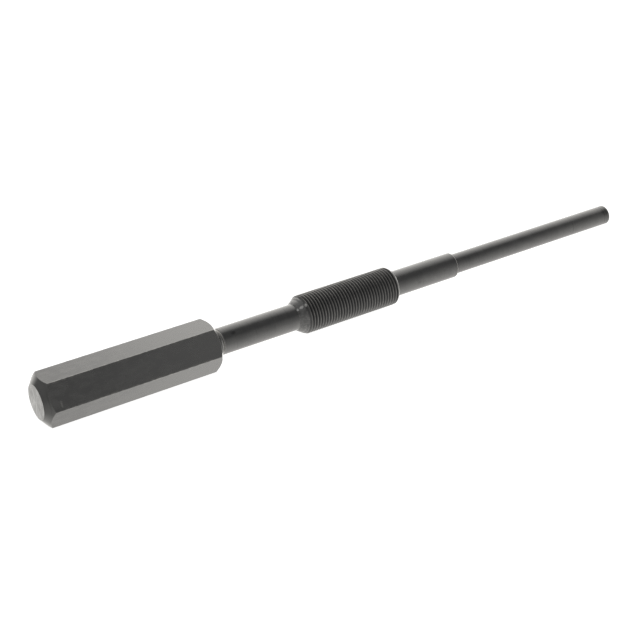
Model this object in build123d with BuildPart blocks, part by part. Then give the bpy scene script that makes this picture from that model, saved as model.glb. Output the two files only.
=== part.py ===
from build123d import *
from math import radians, sqrt, tan
import os

# Clutch puller bolt, turned from one length of hexagon bar and modelled section by section. Its axis lies
# along +X: the centre of the head's free end face is the origin, and the push rod's tip is at the far end.
# The hexagon lies on a flat, with its top flat facing +Z. The sections are cut at the machined shoulders
# and meet face to face.

# Hexagon head: 7/8 in bar, with a turned chamfer on both ends. Each chamfer runs out from a round face,
# at an angle to that face.
HEX_ACROSS_FLATS = 22.225
HEX_CORNER_RADIUS = 0.3
HEAD_LENGTH = 87.6
FREE_FACE_DIAMETER = 16.4
FREE_CHAMFER_ANGLE = 37.0
INNER_FACE_DIAMETER = 17.0
INNER_CHAMFER_ANGLE = 35.5

# Plain shank behind the head, with a relief groove turned against the head
SHANK_DIAMETER = 12.8
RELIEF_DIAMETER = 10.4
RELIEF_WIDTH = 2.2
RELIEF_FILLET = 0.4

# Thread: 3/4-16 UNF, run out on a conical shoulder, with a 45 degree chamfer on its far end
THREAD_MAJOR_DIAMETER = 19.05
THREAD_PITCH = 25.4 / 16
THREAD_DEPTH = 0.6134 * THREAD_PITCH
THREAD_CREST_FLAT = THREAD_PITCH / 8
CONE_START = 130.7
CONE_END = 135.5
THREAD_END = 188.0
THREAD_END_CHAMFER = 1.4

# Guide shank and push rod
GUIDE_END = 227.0
GUIDE_CHAMFER = 0.8
GUIDE_ROOT_FILLET = 0.8
ROD_DIAMETER = 10.2
ROD_ROOT_FILLET = 0.4
ROD_TIP_CHAMFER = 0.5
OVERALL_LENGTH = 333.4

# Derived sizes
hex_corner_reach = HEX_ACROSS_FLATS / sqrt(3)
free_face_radius = FREE_FACE_DIAMETER / 2
free_chamfer_depth = (hex_corner_reach - free_face_radius) * tan(radians(FREE_CHAMFER_ANGLE))
inner_face_radius = INNER_FACE_DIAMETER / 2
inner_chamfer_depth = (hex_corner_reach - inner_face_radius) * tan(radians(INNER_CHAMFER_ANGLE))
shank_radius = SHANK_DIAMETER / 2
relief_radius = RELIEF_DIAMETER / 2
major_radius = THREAD_MAJOR_DIAMETER / 2
root_radius = major_radius - THREAD_DEPTH
end_face_radius = major_radius - THREAD_END_CHAMFER
rod_radius = ROD_DIAMETER / 2

os.makedirs("parts", exist_ok=True)


# Head: the hexagon bar, trimmed by the outline that the lathe leaves at its two ends
with BuildPart() as hex_head:
    with BuildSketch(Plane.YZ):
        RegularPolygon(radius=hex_corner_reach, side_count=6)
        fillet(vertices(), radius=HEX_CORNER_RADIUS)
    extrude(amount=HEAD_LENGTH)
    with BuildSketch(Plane.XY):
        with BuildLine():
            Polyline(
                (0, 0),
                (0, free_face_radius),
                (free_chamfer_depth, hex_corner_reach),
                (HEAD_LENGTH - inner_chamfer_depth, hex_corner_reach),
                (HEAD_LENGTH, inner_face_radius),
                (HEAD_LENGTH, 0),
                close=True,
            )
        make_face()
    revolve(axis=Axis.X, mode=Mode.INTERSECT)
hex_head.part.label = "hex_head"


# Shank behind the head: a relief groove, filleted against the head and square at its far wall, then the
# plain diameter
groove_end = HEAD_LENGTH + RELIEF_WIDTH
with BuildPart() as head_shank:
    with BuildSketch(Plane.XY):
        with BuildLine():
            Line((HEAD_LENGTH, 0), (HEAD_LENGTH, relief_radius + RELIEF_FILLET))
            RadiusArc(
                (HEAD_LENGTH, relief_radius + RELIEF_FILLET),
                (HEAD_LENGTH + RELIEF_FILLET, relief_radius),
                -RELIEF_FILLET,
            )
            Polyline(
                (HEAD_LENGTH + RELIEF_FILLET, relief_radius),
                (groove_end, relief_radius),
                (groove_end, shank_radius),
                (CONE_START, shank_radius),
                (CONE_START, 0),
                (HEAD_LENGTH, 0),
            )
        make_face()
    revolve(axis=Axis.X)
head_shank.part.label = "head_shank"


# Thread: a helical ridge, trimmed by the cone at the head end and by the chamfer at the far end so that its
# first and last turns fade out as cut ones do, then joined to a core of root size. The chamfer runs on below
# the thread's root.
cone_slope = (major_radius - shank_radius) / (CONE_END - CONE_START)
core_start = CONE_START + (root_radius - shank_radius) / cone_slope
ridge_sink = 0.05
ridge_height = THREAD_DEPTH + ridge_sink
ridge_base_width = THREAD_CREST_FLAT + 2 * ridge_height * tan(radians(30))
ridge_start = CONE_START + THREAD_PITCH
ridge_length = THREAD_END + THREAD_PITCH - ridge_start
trim_radius = major_radius + 2 * THREAD_DEPTH
trim_floor = root_radius - 2 * ridge_sink
trim_end = THREAD_END + 2 * THREAD_PITCH
with BuildPart() as puller_thread:
    with BuildLine():
        ridge_path = Helix(
            pitch=THREAD_PITCH,
            height=ridge_length,
            radius=root_radius - ridge_sink,
            center=(ridge_start, 0, 0),
            direction=(1, 0, 0),
        )
    with BuildSketch(Plane(origin=ridge_path @ 0, x_dir=(1, 0, 0), z_dir=ridge_path % 0)):
        Trapezoid(
            width=ridge_base_width,
            height=ridge_height,
            left_side_angle=60,
            align=(Align.CENTER, Align.MIN),
        )
    sweep(path=ridge_path, is_frenet=True)
    with BuildSketch(Plane.XY):
        with BuildLine():
            Polyline(
                (CONE_START, shank_radius),
                (CONE_START, trim_radius),
                (CONE_START + (trim_radius - shank_radius) / cone_slope, trim_radius),
                close=True,
            )
        make_face()
        with BuildLine():
            Polyline(
                (THREAD_END - (trim_floor - end_face_radius), trim_floor),
                (THREAD_END - (trim_radius - end_face_radius), trim_radius),
                (trim_end, trim_radius),
                (trim_end, trim_floor),
                close=True,
            )
        make_face()
    revolve(axis=Axis.X, mode=Mode.SUBTRACT)
    with BuildSketch(Plane.XY):
        with BuildLine():
            Polyline(
                (CONE_START, 0),
                (CONE_START, shank_radius),
                (core_start, root_radius),
                (THREAD_END - (root_radius - end_face_radius), root_radius),
                (THREAD_END, end_face_radius),
                (THREAD_END, 0),
                close=True,
            )
        make_face()
    revolve(axis=Axis.X)
puller_thread.part.label = "puller_thread"


# Guide shank: filleted against the thread's end face, chamfered where it steps down to the rod
with BuildPart() as guide_shank:
    with BuildSketch(Plane.XY):
        with BuildLine():
            Line((THREAD_END, 0), (THREAD_END, shank_radius + GUIDE_ROOT_FILLET))
            RadiusArc(
                (THREAD_END, shank_radius + GUIDE_ROOT_FILLET),
                (THREAD_END + GUIDE_ROOT_FILLET, shank_radius),
                -GUIDE_ROOT_FILLET,
            )
            Polyline(
                (THREAD_END + GUIDE_ROOT_FILLET, shank_radius),
                (GUIDE_END - GUIDE_CHAMFER, shank_radius),
                (GUIDE_END, shank_radius - GUIDE_CHAMFER),
                (GUIDE_END, 0),
                (THREAD_END, 0),
            )
        make_face()
    revolve(axis=Axis.X)
guide_shank.part.label = "guide_shank"


# Push rod: filleted against the guide shank, with a small chamfer round its flat tip
with BuildPart() as push_rod:
    with BuildSketch(Plane.XY):
        with BuildLine():
            Line((GUIDE_END, 0), (GUIDE_END, rod_radius + ROD_ROOT_FILLET))
            RadiusArc(
                (GUIDE_END, rod_radius + ROD_ROOT_FILLET),
                (GUIDE_END + ROD_ROOT_FILLET, rod_radius),
                -ROD_ROOT_FILLET,
            )
            Polyline(
                (GUIDE_END + ROD_ROOT_FILLET, rod_radius),
                (OVERALL_LENGTH - ROD_TIP_CHAMFER, rod_radius),
                (OVERALL_LENGTH, rod_radius - ROD_TIP_CHAMFER),
                (OVERALL_LENGTH, 0),
                (GUIDE_END, 0),
            )
        make_face()
    revolve(axis=Axis.X)
push_rod.part.label = "push_rod"


for section in (hex_head, head_shank, puller_thread, guide_shank, push_rod):
    export_step(section.part, f"parts/{section.part.label}.step")
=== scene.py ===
import math

import bpy
from mathutils import Matrix, Vector


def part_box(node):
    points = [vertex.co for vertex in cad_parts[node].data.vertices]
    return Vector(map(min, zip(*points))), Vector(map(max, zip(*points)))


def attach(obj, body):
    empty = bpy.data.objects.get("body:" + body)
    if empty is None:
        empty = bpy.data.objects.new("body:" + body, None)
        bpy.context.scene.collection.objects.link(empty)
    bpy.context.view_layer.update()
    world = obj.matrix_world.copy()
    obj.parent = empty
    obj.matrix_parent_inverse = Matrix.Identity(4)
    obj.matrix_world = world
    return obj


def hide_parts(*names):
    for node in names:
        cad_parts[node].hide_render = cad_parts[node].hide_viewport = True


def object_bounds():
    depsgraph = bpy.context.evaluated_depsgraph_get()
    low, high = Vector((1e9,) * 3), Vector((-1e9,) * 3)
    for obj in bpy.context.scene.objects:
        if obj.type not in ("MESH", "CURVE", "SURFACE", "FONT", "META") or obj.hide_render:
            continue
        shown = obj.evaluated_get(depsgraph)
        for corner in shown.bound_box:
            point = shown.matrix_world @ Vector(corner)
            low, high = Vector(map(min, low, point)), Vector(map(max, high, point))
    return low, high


# The clutch puller bolt, dressed for its studio picture. Every piece stands for one CAD section: the head
# is a hexagon trimmed by its turned chamfers, the plain sections are turned about the X axis, and the
# thread follows its own helix. Metres throughout.

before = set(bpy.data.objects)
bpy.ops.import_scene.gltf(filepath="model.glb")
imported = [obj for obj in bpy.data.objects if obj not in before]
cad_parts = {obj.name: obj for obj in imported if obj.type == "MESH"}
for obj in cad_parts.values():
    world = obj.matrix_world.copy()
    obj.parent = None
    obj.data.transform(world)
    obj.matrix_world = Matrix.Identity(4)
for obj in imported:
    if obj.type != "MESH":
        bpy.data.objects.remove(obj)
cad_low, cad_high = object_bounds()

MM = 0.001

# Stations along the tool and radii, read off the frame
head_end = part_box("hex_head")[1].x
cone_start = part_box("puller_thread")[0].x
thread_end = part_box("puller_thread")[1].x
guide_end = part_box("push_rod")[0].x
tip_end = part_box("push_rod")[1].x
half_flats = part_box("hex_head")[1].z
shank_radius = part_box("head_shank")[1].z
major_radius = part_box("puller_thread")[1].z

# Sizes that the boxes don't give
CORNER_ROUND = 0.3 * MM
FREE_FACE_RADIUS = 8.2 * MM
FREE_CHAMFER = math.radians(37)
INNER_FACE_RADIUS = 8.5 * MM
INNER_CHAMFER = math.radians(35.5)
RELIEF_RADIUS = 5.2 * MM
RELIEF_WIDTH = 2.2 * MM
RELIEF_FILLET = 0.4 * MM
CONE_END = 135.5 * MM
THREAD_PITCH = 25.4 * MM / 16
THREAD_DEPTH = 0.6134 * THREAD_PITCH
CREST_FLAT = THREAD_PITCH / 6
SCORE_START = 132.2 * MM
SCORE_RISE = 1.5 * MM
SCORE_FALL = 1.2 * MM
SCORE_DEPTH = 0.16 * MM
THREAD_END_CHAMFER = 1.4 * MM
GUIDE_CHAMFER = 0.8 * MM
GUIDE_FILLET = 0.8 * MM
ROD_RADIUS = 5.1 * MM
ROD_FILLET = 0.4 * MM
TIP_CHAMFER = 0.5 * MM
EDGE_BREAK = 0.12 * MM
SHANK_EDGE_BREAK = 0.35 * MM

# An outline's corner is rounded above a slight turn, over no more than a share of the runs beside it, and a
# mesh edge is shaded sharp above a sharp turn
SLIGHT_TURN = math.radians(20)
ROUNDED_SHARE = 0.4
SHARP_TURN = math.radians(40)

groove_end = head_end + RELIEF_WIDTH
chamfer_start = thread_end - THREAD_END_CHAMFER
root_radius = major_radius - THREAD_DEPTH
end_face_radius = major_radius - THREAD_END_CHAMFER
cone_slope = (major_radius - shank_radius) / (CONE_END - cone_start)
half_crest = CREST_FLAT / 2
half_root = THREAD_PITCH / 2 - (half_crest + THREAD_DEPTH * math.tan(math.radians(30)))


def on_side(station, radius, lift):
    """A place at a station and a radius in mm, at an angle up from the tool's -Y side in degrees."""
    a = math.radians(lift)
    return (station * MM, -radius * MM * math.cos(a), radius * MM * math.sin(a))


# The nick that a blow left across the cone, in three bits. Each is an ellipsoid: its middle, and its
# reach along X, Y and Z.
NICK_DEPTH = 0.18 * MM
NICKS = [
    (on_side(131.2, 6.7, 56), (0.7 * MM, 0.9 * MM, 0.9 * MM)),
    (on_side(132.9, 7.8, 57), (1.9 * MM, 0.9 * MM, 1.1 * MM)),
    (on_side(134.9, 9.1, 57), (0.8 * MM, 1.4 * MM, 1.2 * MM)),
]


# ---------------------------------------------------------------- meshes

def rounded(points, size, steps=3):
    """An (x, r) outline with a short curve in place of each inner corner, starting size before it."""
    out = [points[0]]
    for before, corner, after in zip(points, points[1:], points[2:]):
        p, q, s = Vector(before), Vector(corner), Vector(after)
        if (q - p).angle(s - q) < SLIGHT_TURN:
            out.append(corner)
            continue
        reach_in = min(size, (p - q).length * ROUNDED_SHARE)
        reach_out = min(size, (s - q).length * ROUNDED_SHARE)
        a = q + (p - q).normalized() * reach_in
        b = q + (s - q).normalized() * reach_out
        for i in range(steps + 1):
            t = i / steps
            out.append(tuple(a * (1 - t) ** 2 + q * 2 * t * (1 - t) + b * t ** 2))
    out.append(points[-1])
    return out


def fillet_arc(x, r, size, steps=6):
    """A concave quarter round from the shoulder at x down to radius r."""
    centre = (x + size, r + size)
    turns = [math.pi + math.pi / 2 * i / steps for i in range(steps + 1)]
    return [(centre[0] + size * math.cos(t), centre[1] + size * math.sin(t)) for t in turns]


def new_piece(name, verts, faces, node):
    """A smooth-shaded piece that stands for a CAD node and rides on the one body."""
    mesh = bpy.data.meshes.new(name)
    mesh.from_pydata(verts, [], faces)
    mesh.polygons.foreach_set("use_smooth", [True] * len(mesh.polygons))
    mesh.set_sharp_from_angle(angle=SHARP_TURN)
    piece = bpy.data.objects.new(name, mesh)
    bpy.context.scene.collection.objects.link(piece)
    evenly = piece.modifiers.new("even_normals", "WEIGHTED_NORMAL")
    evenly.weight = 100
    evenly.keep_sharp = True
    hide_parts(node)
    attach(piece, "root")
    return piece


def ringed(name, rings, node):
    """A closed piece from rings of points, the first and last ring being single points on the axis."""
    verts, faces, starts = [], [], []
    for ring in rings:
        starts.append(len(verts))
        verts.extend(ring)
    for low, high, a, b in zip(rings, rings[1:], starts, starts[1:]):
        count = max(len(low), len(high))
        for i in range(count):
            j = (i + 1) % count
            if len(low) == 1:
                faces.append((a, b + j, b + i))
            elif len(high) == 1:
                faces.append((a + i, a + j, b))
            else:
                faces.append((a + i, a + j, b + j, b + i))
    return new_piece(name, verts, faces, node)


def turned(name, outline, node, segments=144):
    """A piece turned about X from an (x, r) outline."""
    rings = []
    for x, r in outline:
        if r == 0:
            rings.append([(x, 0.0, 0.0)])
            continue
        angles = [2 * math.pi * i / segments for i in range(segments)]
        rings.append([(x, r * math.cos(a), r * math.sin(a)) for a in angles])
    return ringed(name, rings, node)


def hexagon_outline(per_flat=16, per_corner=5):
    """Points round the hexagon bar's section, one flat up, with its rounded corners."""
    points = []
    straight = (half_flats - CORNER_ROUND) * math.tan(math.radians(30))
    inner = (half_flats - CORNER_ROUND) / math.cos(math.radians(30))
    span = math.atan2(straight, half_flats)
    for side in range(6):
        facing = math.radians(90 + 60 * side)
        for i in range(per_flat):
            a = -span + 2 * span * i / per_flat
            points.append((half_flats / math.cos(a), facing + a))
        corner = facing + math.radians(30)
        centre = Vector((inner * math.cos(corner), inner * math.sin(corner)))
        for i in range(per_corner):
            a = facing + math.radians(60) * i / per_corner
            p = centre + Vector((math.cos(a), math.sin(a))) * CORNER_ROUND
            points.append((p.length, math.atan2(p.y, p.x)))
    return [(r * math.cos(a), r * math.sin(a)) for r, a in points]


def hexagon_head(name, node, lengths=12):
    """The hexagon bar trimmed by a cone at each end, with a broken edge where the cones meet the flats."""
    end_run = 8 * MM
    middle_run = head_end - 2 * end_run

    def end_profile(reach, face_radius, chamfer):
        cut = (reach - face_radius) * math.tan(chamfer)
        points = [(0, 0), (0, face_radius / 2), (0, face_radius), (cut, reach), (end_run, reach)]
        return rounded(points, EDGE_BREAK)

    def profile(reach):
        near = end_profile(reach, FREE_FACE_RADIUS, FREE_CHAMFER)
        middle = [(end_run + middle_run * i / lengths, reach) for i in range(1, lengths)]
        far = end_profile(reach, INNER_FACE_RADIUS, INNER_CHAMFER)
        return near + middle + [(head_end - x, r) for x, r in reversed(far)]

    columns = []
    for y, z in hexagon_outline():
        reach = math.hypot(y, z)
        columns.append([(x, y * r / reach, z * r / reach) for x, r in profile(reach)])
    rings = [list(ring) for ring in zip(*columns)]
    rings[0], rings[-1] = rings[0][:1], rings[-1][:1]
    return ringed(name, rings, node)


# Half of one thread turn, from a crest's middle to a root's middle, with softened crest and root edges
THREAD_OUTLINE = [
    (0, major_radius),
    (half_crest * 0.4, major_radius),
    (half_crest * 1.4, major_radius - 0.09 * THREAD_DEPTH),
    (THREAD_PITCH / 2 - half_root * 1.3, root_radius + 0.06 * THREAD_DEPTH),
    (THREAD_PITCH / 2 - half_root * 0.5, root_radius),
    (THREAD_PITCH / 2, root_radius),
]


def thread_radius(along):
    """Radius of the thread at a distance along the tool from a crest's middle."""
    d = abs(along)
    for (x0, r0), (x1, r1) in zip(THREAD_OUTLINE, THREAD_OUTLINE[1:]):
        if d <= x1:
            return r0 + (r1 - r0) * (d - x0) / (x1 - x0)
    return root_radius


def scored(along, x):
    """How far the threading tool's run-out cuts into the cone, fading towards the shank."""
    groove = 0.5 - 0.5 * math.cos(2 * math.pi * along / THREAD_PITCH)
    rise = min(max((x - SCORE_START) / SCORE_RISE, 0), 1)
    fall = min(max((CONE_END - x) / SCORE_FALL, 0), 1)
    return SCORE_DEPTH * groove * rise * fall


def nicked(x, y, z):
    """How deep the nick is at a place."""
    depth = 0
    for middle, reach in NICKS:
        away = sum(((a - b) / c) ** 2 for a, b, c in zip((x, y, z), middle, reach))
        depth = max(depth, NICK_DEPTH * (1 - away))
    return depth


def threaded(name, node, segments=180):
    """The conical shoulder and the thread. Its rows follow the helix, and gather on the end circles."""
    half = [x for x, _ in THREAD_OUTLINE[1:-1]]
    on_the_flank = 0.3 * THREAD_PITCH
    half.insert(2, on_the_flank)
    offsets = [-h for h in reversed(half)] + half
    first_ridge = cone_start + THREAD_PITCH
    spare_turns = 3
    turns = range(-spare_turns, int((thread_end - first_ridge) / THREAD_PITCH) + spare_turns)

    def point(turn, along, i):
        angle = 2 * math.pi * i / segments
        x = first_ridge + THREAD_PITCH * (turn + i / segments) + along
        x = min(max(x, cone_start), thread_end)
        cone = shank_radius + (x - cone_start) * cone_slope - scored(along, x)
        end_chamfer = end_face_radius + thread_end - x
        r = min(thread_radius(along), cone, end_chamfer)
        r -= nicked(x, -r * math.sin(angle), r * math.cos(angle))
        return (x, -r * math.sin(angle), r * math.cos(angle))

    rows = [[point(t, o, i) for i in range(segments)] for t in turns for o in offsets]
    per_turn = len(offsets)
    verts, index, faces = [], {}, []

    def vertex(p):
        key = tuple(round(c, 8) for c in p)
        if key not in index:
            index[key] = len(verts)
            verts.append(p)
        return index[key]

    ids = [[vertex(p) for p in row] for row in rows]
    for k in range(len(ids) - 1 - per_turn):
        for i in range(segments):
            over = i + 1 == segments
            a, b = ids[k][i], ids[k + 1][i]
            c = ids[k + 1 + per_turn][0] if over else ids[k + 1][i + 1]
            d = ids[k + per_turn][0] if over else ids[k][i + 1]
            corner = []
            for v in (a, d, c, b):
                if v not in corner:
                    corner.append(v)
            if len(corner) > 2:
                faces.append(tuple(corner))
    near_middle, far_middle = len(verts), len(verts) + 1
    verts += [(cone_start, 0, 0), (thread_end, 0, 0)]
    for i in range(segments):
        j = (i + 1) % segments
        faces.append((near_middle, ids[0][j], ids[0][i]))
        faces.append((far_middle, ids[-1][i], ids[-1][j]))
    return new_piece(name, verts, faces, node)


hex_head = hexagon_head("head", "hex_head")

shank_outline = [(head_end, 0)] + fillet_arc(head_end, RELIEF_RADIUS, RELIEF_FILLET) + rounded(
    [
        (head_end + RELIEF_FILLET * 1.2, RELIEF_RADIUS),
        (groove_end, RELIEF_RADIUS),
        (groove_end, shank_radius - SHANK_EDGE_BREAK),
        (groove_end + SHANK_EDGE_BREAK, shank_radius),
        (cone_start, shank_radius),
    ],
    EDGE_BREAK,
) + [(cone_start, 0)]
head_shank = turned("shank", shank_outline, "head_shank")

puller_thread = threaded("thread", "puller_thread")

guide_outline = [(thread_end, 0)] + fillet_arc(thread_end, shank_radius, GUIDE_FILLET) + rounded(
    [
        (thread_end + GUIDE_FILLET * 1.2, shank_radius),
        (guide_end - GUIDE_CHAMFER, shank_radius),
        (guide_end, shank_radius - GUIDE_CHAMFER),
        (guide_end, 0),
    ],
    EDGE_BREAK,
)
guide_shank = turned("guide", guide_outline, "guide_shank")

rod_outline = [(guide_end, 0)] + fillet_arc(guide_end, ROD_RADIUS, ROD_FILLET) + rounded(
    [
        (guide_end + ROD_FILLET * 1.2, ROD_RADIUS),
        (tip_end - TIP_CHAMFER, ROD_RADIUS),
        (tip_end, ROD_RADIUS - TIP_CHAMFER),
        (tip_end, 0),
    ],
    EDGE_BREAK,
)
push_rod = turned("rod", rod_outline, "push_rod")


# ---------------------------------------------------------------- materials

class Recipe:
    """A material's node tree, with short ways to add and join its nodes."""

    def __init__(self, name):
        self.material = bpy.data.materials.new(name)
        self.material.use_nodes = True
        self.tree = self.material.node_tree
        self.shader = self.tree.nodes["Principled BSDF"]
        place = self.add("ShaderNodeTexCoord").outputs["Object"]
        parts = self.add("ShaderNodeSeparateXYZ", Vector=place)
        self.place = place
        self.x, self.y, self.z = parts.outputs
        squares = self.calc("ADD", self.calc("POWER", self.y, 2), self.calc("POWER", self.z, 2))
        self.radius = self.calc("SQRT", squares)

    def add(self, kind, settings=None, **inputs):
        node = self.tree.nodes.new(kind)
        for key, value in (settings or {}).items():
            setattr(node, key, value)
        for key, value in inputs.items():
            self.feed(node.inputs[key.replace("_", " ")], value)
        return node

    def feed(self, socket, value):
        if isinstance(value, bpy.types.NodeSocket):
            self.tree.links.new(value, socket)
        else:
            socket.default_value = value

    def calc(self, operation, a, b=None, c=None):
        node = self.tree.nodes.new("ShaderNodeMath")
        node.operation = operation
        for socket, value in zip(node.inputs, (a, b, c)):
            if value is not None:
                self.feed(socket, value)
        return node.outputs[0]

    def ramp(self, value, low, high, out_low=0.0, out_high=1.0):
        """value from low..high mapped smoothly to out_low..out_high, clamped."""
        node = self.add("ShaderNodeMapRange", {"interpolation_type": "SMOOTHSTEP"})
        for socket, v in zip(node.inputs, (value, low, high, out_low, out_high)):
            self.feed(socket, v)
        return node.outputs["Result"]

    def blend(self, share, a, b):
        """A colour that goes from a to b."""
        node = self.add("ShaderNodeMix", {"data_type": "RGBA"})
        self.feed(node.inputs["Factor"], share)
        for socket, value in zip([s for s in node.inputs if s.type == "RGBA"], (a, b)):
            self.feed(socket, value)
        return next(s for s in node.outputs if s.type == "RGBA")

    def stretched(self, x, y, z):
        """The place, scaled by its own number along each axis."""
        node = self.add("ShaderNodeVectorMath", {"operation": "MULTIPLY"})
        self.feed(node.inputs[0], self.place)
        node.inputs[1].default_value = (x, y, z)
        return node.outputs[0]

    def blot(self, middle, reach):
        """1 in the middle of an ellipsoid, 0 outside its reach along X, Y and Z."""
        away = self.add("ShaderNodeVectorMath", {"operation": "SUBTRACT"})
        scaled = self.add("ShaderNodeVectorMath", {"operation": "DIVIDE"})
        length = self.add("ShaderNodeVectorMath", {"operation": "LENGTH"})
        self.feed(away.inputs[0], self.place)
        away.inputs[1].default_value = middle
        self.feed(scaled.inputs[0], away.outputs[0])
        scaled.inputs[1].default_value = reach
        self.feed(length.inputs[0], scaled.outputs[0])
        return self.ramp(length.outputs["Value"], 0.45, 1, 1, 0)

    def noise(self, where, detail=2.0, rough=0.5):
        node = self.add("ShaderNodeTexNoise", Vector=where, Scale=1.0, Detail=detail, Roughness=rough)
        return node.outputs["Fac"]

    def bump(self, height, depth, normal=None):
        """Raises the surface by height, which runs 0 to 1 over depth metres."""
        node = self.add("ShaderNodeBump", Height=height, Distance=depth, Strength=1.0)
        if normal is not None:
            self.feed(node.inputs["Normal"], normal)
        return node.outputs[0]


OXIDE = (0.215, 0.215, 0.215, 1)
OXIDE_PALE = (0.265, 0.264, 0.260, 1)
DEEP_OXIDE_AND_SHADE = (0.060, 0.060, 0.060, 1)
BARE_STEEL_AND_HIGHLIGHT = (0.52, 0.51, 0.49, 1)
# Painted light: the hexagon runs from HEXAGON_NEAR at its free end to the lighter HEXAGON_FAR at its other
# end, standing in for the brighter reflection there
HEXAGON_NEAR = (0.185, 0.185, 0.185, 1)
HEXAGON_FAR = (0.255, 0.255, 0.253, 1)
CHAMFER_OXIDE = (0.31, 0.31, 0.305, 1)
THIN_OXIDE_AND_PAINTED_LIGHT = (0.48, 0.48, 0.475, 1)
PALE_OXIDE_AND_HIGHLIGHT = (0.80, 0.80, 0.79, 1)
RIM_HIGHLIGHT = (0.72, 0.72, 0.70, 1)
FRESH_STEEL = (0.97, 0.97, 0.96, 1)
TURNED_ROUGHNESS = 0.19
HEXAGON_ROUGHNESS = 0.26
FACED_ROUGHNESS = 0.30
THREAD_ROUGHNESS = 0.34
RELIEF_PAINTED_LIGHT = 0.52

# The end face's facing marks, one turn of the tool apart, and the way its fan of painted highlight streaks
# points
FACING_STEP = 0.55 * MM
FAN_HIGHLIGHT_LIFT = 225

# Stains, a rub, and a patch of painted light on the cone's upper side, each an ellipsoid's middle and its
# reach along X, Y and Z
SHANK_STAIN = (on_side(95.6, 6.4, 50), (1.6 * MM, 1.0 * MM, 1.0 * MM))
GUIDE_STAIN = (on_side(201.8, 6.4, 1), (1.2 * MM, 1.0 * MM, 0.9 * MM))
TIP_STAIN = (on_side(330.5, 5.1, 48), (3.0 * MM, 2.6 * MM, 2.6 * MM))
THREAD_STAIN = (on_side(142.6, 9.3, -26), (0.7 * MM, 0.8 * MM, 0.7 * MM))
HEAD_RUB = (on_side(6.9, 11.6, 12), (0.6 * MM, 1.8 * MM, 2.2 * MM))
CONE_LIGHT_PATCH = (on_side(132.8, 7.8, 72), (2.8 * MM, 5.5 * MM, 5.0 * MM))


def oxide(name, roughness, near=OXIDE, far=OXIDE):
    """Blackened steel with a cloudy colour, a fine grain and an uneven gloss. The colour goes from near at
    the head's free end to far at its other end; on the hexagon this gradient is painted light, lighter
    towards the far end. Returns the recipe, its colour, roughness and normal."""
    m = Recipe(name)
    clouds = m.noise(m.stretched(160, 260, 260), detail=4, rough=0.6)
    grain = m.noise(m.stretched(5200, 5200, 5200), detail=2, rough=0.7)
    # near to far along the head; on the hexagon this is painted light
    base = m.blend(m.ramp(m.x, 0, head_end), near, far)
    colour = m.blend(m.ramp(clouds, 0.35, 0.7, 0, 0.5), base, OXIDE_PALE)
    roughness = m.calc("ADD", roughness, m.ramp(clouds, 0.3, 0.75, -0.03, 0.04))
    roughness = m.calc("ADD", roughness, m.ramp(grain, 0.3, 0.7, -0.03, 0.03))
    m.shader.inputs["Metallic"].default_value = 1.0
    normal = m.bump(grain, 0.7e-6)
    return m, colour, roughness, normal


def close_to(m, station, width):
    """1 at a station along the tool, falling to 0 at width from it."""
    return m.ramp(m.calc("ABSOLUTE", m.calc("SUBTRACT", m.x, station)), 0, width, 1, 0)


def lathe_rings(m, spacing):
    """Uneven turning marks, spaced along the tool and drawn out round it."""
    return m.noise(m.stretched(1 / spacing, 45, 45), detail=3, rough=0.6)


def finish_recipe(m, colour, roughness, normal):
    """Joins the last colour, roughness and normal to the shader."""
    m.feed(m.shader.inputs["Base Color"], colour)
    m.feed(m.shader.inputs["Roughness"], roughness)
    m.feed(m.shader.inputs["Normal"], normal)
    return m.material


def turned_steel(name, base=OXIDE, highlight_stations=(), dark_rings=(), stains=()):
    """Turned and blackened steel, with painted highlight rings at the given stations and painted light in
    the relief groove. Each stain is a middle, a reach and how dark it is.
    """
    m, colour, roughness, normal = oxide(name, TURNED_ROUGHNESS, near=base, far=base)
    rings = lathe_rings(m, 0.22 * MM)
    broad = lathe_rings(m, 1.6 * MM)
    colour = m.blend(m.ramp(rings, 0.35, 0.75, 0, 0.3), colour, OXIDE_PALE)
    colour = m.blend(m.ramp(broad, 0.55, 0.8, 0, 0.3), colour, DEEP_OXIDE_AND_SHADE)
    for station in dark_rings:
        colour = m.blend(m.calc("MULTIPLY", close_to(m, station, 0.4 * MM), 0.45), colour, DEEP_OXIDE_AND_SHADE)
    patchy = m.ramp(m.noise(m.stretched(700, 700, 700), detail=3), 0.4, 0.62)
    spotted = m.calc("MULTIPLY_ADD", patchy, 0.5, 0.5)
    for middle, reach, share in stains:
        stained = m.calc("MULTIPLY", m.blot(middle, reach), spotted)
        colour = m.blend(m.calc("MULTIPLY", stained, share), colour, DEEP_OXIDE_AND_SHADE)
    # Painted highlight: patchy bright rings at the given shoulder and chamfer edges
    patchy_lightening = m.calc("MULTIPLY_ADD", patchy, 0.6, 0.4)
    for station in highlight_stations:
        edge_highlight = m.calc("MULTIPLY", close_to(m, station, 0.35 * MM), patchy_lightening)
        colour = m.blend(m.calc("MULTIPLY", edge_highlight, 0.8), colour, BARE_STEEL_AND_HIGHLIGHT)
    # Painted light: the relief groove is coloured pale to lighten the shade that falls in it
    groove_middle = (head_end + RELIEF_WIDTH / 2, 0, 0)
    in_relief = m.blot(groove_middle, (RELIEF_WIDTH, 2.5 * shank_radius, 2.5 * shank_radius))
    colour = m.blend(m.calc("MULTIPLY", in_relief, RELIEF_PAINTED_LIGHT), colour, PALE_OXIDE_AND_HIGHLIGHT)
    normal = m.bump(rings, 1.6e-6, normal)
    return finish_recipe(m, colour, roughness, normal)


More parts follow.
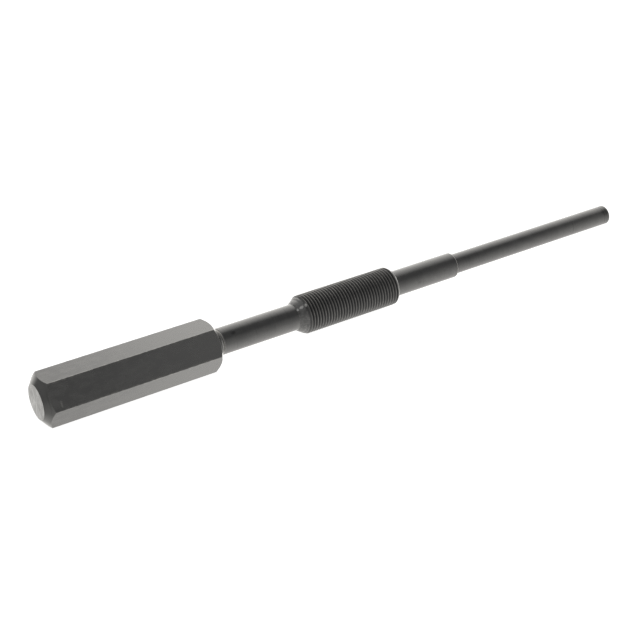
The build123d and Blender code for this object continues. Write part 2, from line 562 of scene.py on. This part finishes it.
def hexagon_steel(name):
    """Drawn and blackened hexagon bar, rubbed along its corners, and coloured lighter towards its far end as
    painted light.
    """
    m, colour, roughness, normal = oxide(name, HEXAGON_ROUGHNESS, near=HEXAGON_NEAR, far=HEXAGON_FAR)
    drawn = m.noise(m.stretched(14, 2600, 2600), detail=3, rough=0.6)
    corner = half_flats / math.cos(math.radians(30))
    edge = m.ramp(m.radius, corner - 0.45 * MM, corner - 0.1 * MM)
    patchy = m.ramp(m.noise(m.stretched(500, 900, 900), detail=4), 0.42, 0.66)
    colour = m.blend(m.ramp(drawn, 0.4, 0.75, 0, 0.12), colour, OXIDE_PALE)
    colour = m.blend(m.calc("MULTIPLY", m.blot(*HEAD_RUB), 0.35), colour, BARE_STEEL_AND_HIGHLIGHT)
    colour = m.blend(m.calc("MULTIPLY", m.calc("MULTIPLY", edge, patchy), 0.4), colour, BARE_STEEL_AND_HIGHLIGHT)
    normal = m.bump(drawn, 1.0e-6, normal)
    return finish_recipe(m, colour, roughness, normal)


def faced_steel(name):
    """The head's free end face: thin oxide over facing marks, smeared, with a fan of painted highlight
    streaks and a painted highlight round its rim.
    """
    m, colour, roughness, normal = oxide(name, FACED_ROUGHNESS, near=THIN_OXIDE_AND_PAINTED_LIGHT, far=THIN_OXIDE_AND_PAINTED_LIGHT)
    wander = m.calc("MULTIPLY", m.noise(m.stretched(60, 60, 60), detail=1), FACING_STEP)
    turns = m.calc("MULTIPLY", m.calc("ADD", m.radius, wander), 2 * math.pi / FACING_STEP)
    facing_marks = m.calc("MULTIPLY_ADD", m.calc("SINE", turns), 0.5, 0.5)
    # Painted highlight: a fan of brighter streaks by angle round the axis, mixed with real smears
    around = m.calc("ARCTAN2", m.z, m.calc("MULTIPLY", m.y, -1))
    fan_highlight = m.calc("COSINE", m.calc("SUBTRACT", around, math.radians(FAN_HIGHLIGHT_LIFT)))
    fan_highlight = m.calc("MULTIPLY", m.ramp(fan_highlight, 0.0, 1.0), m.ramp(m.radius, 0, 5 * MM, 1, 0.5))
    smears = m.noise(m.stretched(1, 700, 260), detail=4, rough=0.65)
    share = m.calc("ADD", m.calc("MULTIPLY", fan_highlight, 0.6), m.ramp(smears, 0.38, 0.66, -0.1, 0.6))
    colour = m.blend(share, THIN_OXIDE_AND_PAINTED_LIGHT, PALE_OXIDE_AND_HIGHLIGHT)
    # Painted highlight: a bright ring round the end face's rim
    rim_highlight = m.ramp(m.radius, FREE_FACE_RADIUS - 0.5 * MM, FREE_FACE_RADIUS - 0.1 * MM)
    colour = m.blend(m.calc("MULTIPLY", rim_highlight, 0.5), colour, RIM_HIGHLIGHT)
    normal = m.bump(facing_marks, 1.5e-6, normal)
    return finish_recipe(m, colour, roughness, normal)


def thread_steel(name):
    """Blackened thread with painted shade in its roots, crests lightened by patchy wear and by painted
    highlight towards the top, a mottled cone with a painted light patch on its upper side, and painted
    highlights on the end chamfer and last crest.
    """
    m, colour, roughness, normal = oxide(name, THREAD_ROUGHNESS)
    in_root = m.ramp(m.radius, root_radius + 0.05 * MM, root_radius + 0.6 * MM, 1, 0)
    on_cone = m.ramp(m.x, CONE_END - 0.6 * MM, CONE_END, 1, 0)
    on_far_chamfer = m.ramp(m.x, chamfer_start, chamfer_start + 0.1 * MM)
    # Painted shade: the thread roots are darkened, except on the cone and the far chamfer
    free_of_root_shade = m.calc("MAXIMUM", on_cone, on_far_chamfer)
    root_shade = m.calc("MULTIPLY", in_root, m.calc("SUBTRACT", 1, free_of_root_shade))
    colour = m.blend(m.calc("MULTIPLY", root_shade, 0.5), colour, DEEP_OXIDE_AND_SHADE)
    # Painted highlight: the far end chamfer is coloured pale
    colour = m.blend(m.calc("MULTIPLY", on_far_chamfer, 0.6), colour, PALE_OXIDE_AND_HIGHLIGHT)
    # Painted light: a broad lighter patch over the cone's upper side
    colour = m.blend(m.calc("MULTIPLY", m.blot(*CONE_LIGHT_PATCH), 0.75), colour, THIN_OXIDE_AND_PAINTED_LIGHT)
    mottle = m.ramp(m.noise(m.stretched(1100, 1100, 1100), detail=3), 0.45, 0.65)
    colour = m.blend(m.calc("MULTIPLY", m.calc("MULTIPLY", mottle, on_cone), 0.35), colour, THIN_OXIDE_AND_PAINTED_LIGHT)
    crest = m.ramp(m.radius, major_radius - 0.16 * MM, major_radius - 0.05 * MM)
    # Crests lightened partly by patchy wear and partly by painted highlight that grows towards the top
    patchy_lightening = m.ramp(m.noise(m.stretched(260, 420, 420), detail=5, rough=0.7), 0.45, 0.7, 0.2, 0.5)
    patchy_lightening = m.calc("ADD", patchy_lightening, m.ramp(m.z, 6.5 * MM, 9 * MM, 0, 0.4))
    colour = m.blend(m.calc("MULTIPLY", crest, patchy_lightening), colour, BARE_STEEL_AND_HIGHLIGHT)
    # Painted highlight: a bright arc on the last crest before the end chamfer
    last_crest_highlight = m.calc("MULTIPLY", close_to(m, chamfer_start, 0.35 * MM), crest)
    colour = m.blend(m.calc("MULTIPLY", last_crest_highlight, 0.8), colour, RIM_HIGHLIGHT)
    colour = m.blend(m.calc("MULTIPLY", m.blot(*THREAD_STAIN), 0.8), colour, DEEP_OXIDE_AND_SHADE)
    for middle, reach in NICKS:
        fresh = m.blot(middle, reach)
        colour = m.blend(fresh, colour, FRESH_STEEL)
        roughness = m.calc("ADD", roughness, m.calc("MULTIPLY", fresh, 0.5))
    roughness = m.calc("ADD", roughness, m.calc("MULTIPLY", root_shade, 0.08))
    rings = lathe_rings(m, 0.2 * MM)
    normal = m.bump(rings, 1.2e-6, normal)
    return finish_recipe(m, colour, roughness, normal)


hex_head.data.materials.append(hexagon_steel("black_oxide_hexagon"))
hex_head.data.materials.append(turned_steel("black_oxide_chamfer", base=CHAMFER_OXIDE))
hex_head.data.materials.append(faced_steel("faced_end"))
CHAMFER_SLOT, END_FACE_SLOT = 1, 2
END_FACE_SLACK = 0.005 * MM
CHAMFER_LEAN = 0.2
for face in hex_head.data.polygons:
    if face.center.x < END_FACE_SLACK:
        face.material_index = END_FACE_SLOT
    elif abs(face.normal.x) > CHAMFER_LEAN:
        face.material_index = CHAMFER_SLOT
# The listed stations get painted highlight rings at the shoulder and chamfer edges
turned_finish = turned_steel(
    "black_oxide_turned",
    highlight_stations=(groove_end, guide_end - GUIDE_CHAMFER, guide_end, tip_end - TIP_CHAMFER),
    dark_rings=(tip_end - 2.2 * MM, tip_end - 3.8 * MM),
    stains=((*SHANK_STAIN, 0.7), (*GUIDE_STAIN, 0.25), (*TIP_STAIN, 0.6)),
)
for piece in (head_shank, guide_shank, push_rod):
    piece.data.materials.append(turned_finish)
puller_thread.data.materials.append(thread_steel("black_oxide_thread"))


# ---------------------------------------------------------------- studio

# The camera looks along the tool from the head's end, down onto its -Y side
CAMERA_PLACE = Vector((-0.1729, -0.4751, 0.3076))
CAMERA_AZIMUTH = math.radians(-33.842)
CAMERA_ELEVATION = math.radians(28.702)
CAMERA_ROLL = math.radians(-0.707)
LENS = 76.57

back = Vector((
    math.sin(CAMERA_AZIMUTH) * math.cos(CAMERA_ELEVATION),
    -math.cos(CAMERA_AZIMUTH) * math.cos(CAMERA_ELEVATION),
    math.sin(CAMERA_ELEVATION),
))
camera = bpy.data.objects.new("camera", bpy.data.cameras.new("camera"))
camera.data.lens = LENS
camera.data.sensor_width = 36
camera.data.clip_start = 0.01
camera.data.clip_end = 100
turn = (-back).to_track_quat("-Z", "Y").to_matrix().to_4x4()
camera.matrix_world = Matrix.Translation(CAMERA_PLACE) @ turn @ Matrix.Rotation(CAMERA_ROLL, 4, "Z")
bpy.context.scene.collection.objects.link(camera)
bpy.context.scene.camera = camera

bpy.context.scene.view_settings.view_transform = "Standard"
bpy.context.scene.view_settings.look = "None"

# The surroundings as the steel mirrors them: a dim room, a broad soft light behind the tool on its thin
# end's side, a pale table that grows brighter below the tool and behind it, a weaker glow from the front and
# a faint one from behind the head. Each starts at one cosine to its direction and is full at another, and
# the brightest one counts.
ROOM = (0.15, 0.15, 0.15)
GLOW_TINT = (1.0, 0.98, 0.945)
GLOWS = [
    {"towards": (0.68, 0.71, -0.17), "starts": 0.12, "full": 0.96, "strength": 1.45},
    {"towards": (0.608, 0.257, -0.751), "starts": -0.26, "full": 1.0, "strength": 0.90},
    {"towards": (-0.135, -0.786, -0.603), "starts": 0.07, "full": 0.95, "strength": 0.32},
    {"towards": (-0.81, 0.50, 0.30), "starts": 0.1, "full": 1.0, "strength": 0.05},
]

world = bpy.data.worlds.new("studio")
bpy.context.scene.world = world
world.use_nodes = True
nodes, links = world.node_tree.nodes, world.node_tree.links
coordinates = nodes.new("ShaderNodeTexCoord")
brightest = None
for glow in GLOWS:
    towards = nodes.new("ShaderNodeVectorMath")
    towards.operation = "DOT_PRODUCT"
    towards.inputs[1].default_value = glow["towards"]
    links.new(coordinates.outputs["Generated"], towards.inputs[0])
    level = nodes.new("ShaderNodeMapRange")
    for field, value in zip(level.inputs[1:5], (glow["starts"], glow["full"], 0.0, glow["strength"])):
        field.default_value = value
    links.new(towards.outputs["Value"], level.inputs[0])
    brighter = nodes.new("ShaderNodeMath")
    brighter.operation = "MAXIMUM"
    brighter.inputs[1].default_value = 0.0
    links.new(level.outputs["Result"], brighter.inputs[0])
    if brightest is not None:
        links.new(brightest, brighter.inputs[1])
    brightest = brighter.outputs[0]
tinted = nodes.new("ShaderNodeVectorMath")
tinted.operation = "MULTIPLY_ADD"
tinted.inputs[1].default_value = GLOW_TINT
tinted.inputs[2].default_value = ROOM
links.new(brightest, tinted.inputs[0])
links.new(tinted.outputs[0], nodes["Background"].inputs["Color"])

# The floor is seen by the camera alone: the world gives everything that the steel mirrors
FLOOR_REACH = 6.0
corners = [(-1, -1), (1, -1), (1, 1), (-1, 1)]
floor_mesh = bpy.data.meshes.new("floor")
floor_mesh.from_pydata(
    [(x * FLOOR_REACH, y * FLOOR_REACH, cad_low.z) for x, y in corners],
    [],
    [(0, 1, 2, 3)],
)
floor = bpy.data.objects.new("floor", floor_mesh)
floor.visible_glossy = False
floor.visible_diffuse = False
floor.visible_shadow = False
bpy.context.scene.collection.objects.link(floor)
paper = bpy.data.materials.new("white_paper")
paper.use_nodes = True
sheet = paper.node_tree.nodes["Principled BSDF"]
sheet.inputs["Base Color"].default_value = (0.9, 0.9, 0.9, 1)
sheet.inputs["Roughness"].default_value = 0.9
sheet.inputs["Specular IOR Level"].default_value = 0.0
sheet.inputs["Emission Color"].default_value = (1, 1, 1, 1)
sheet.inputs["Emission Strength"].default_value = 0.93
floor.data.materials.append(paper)
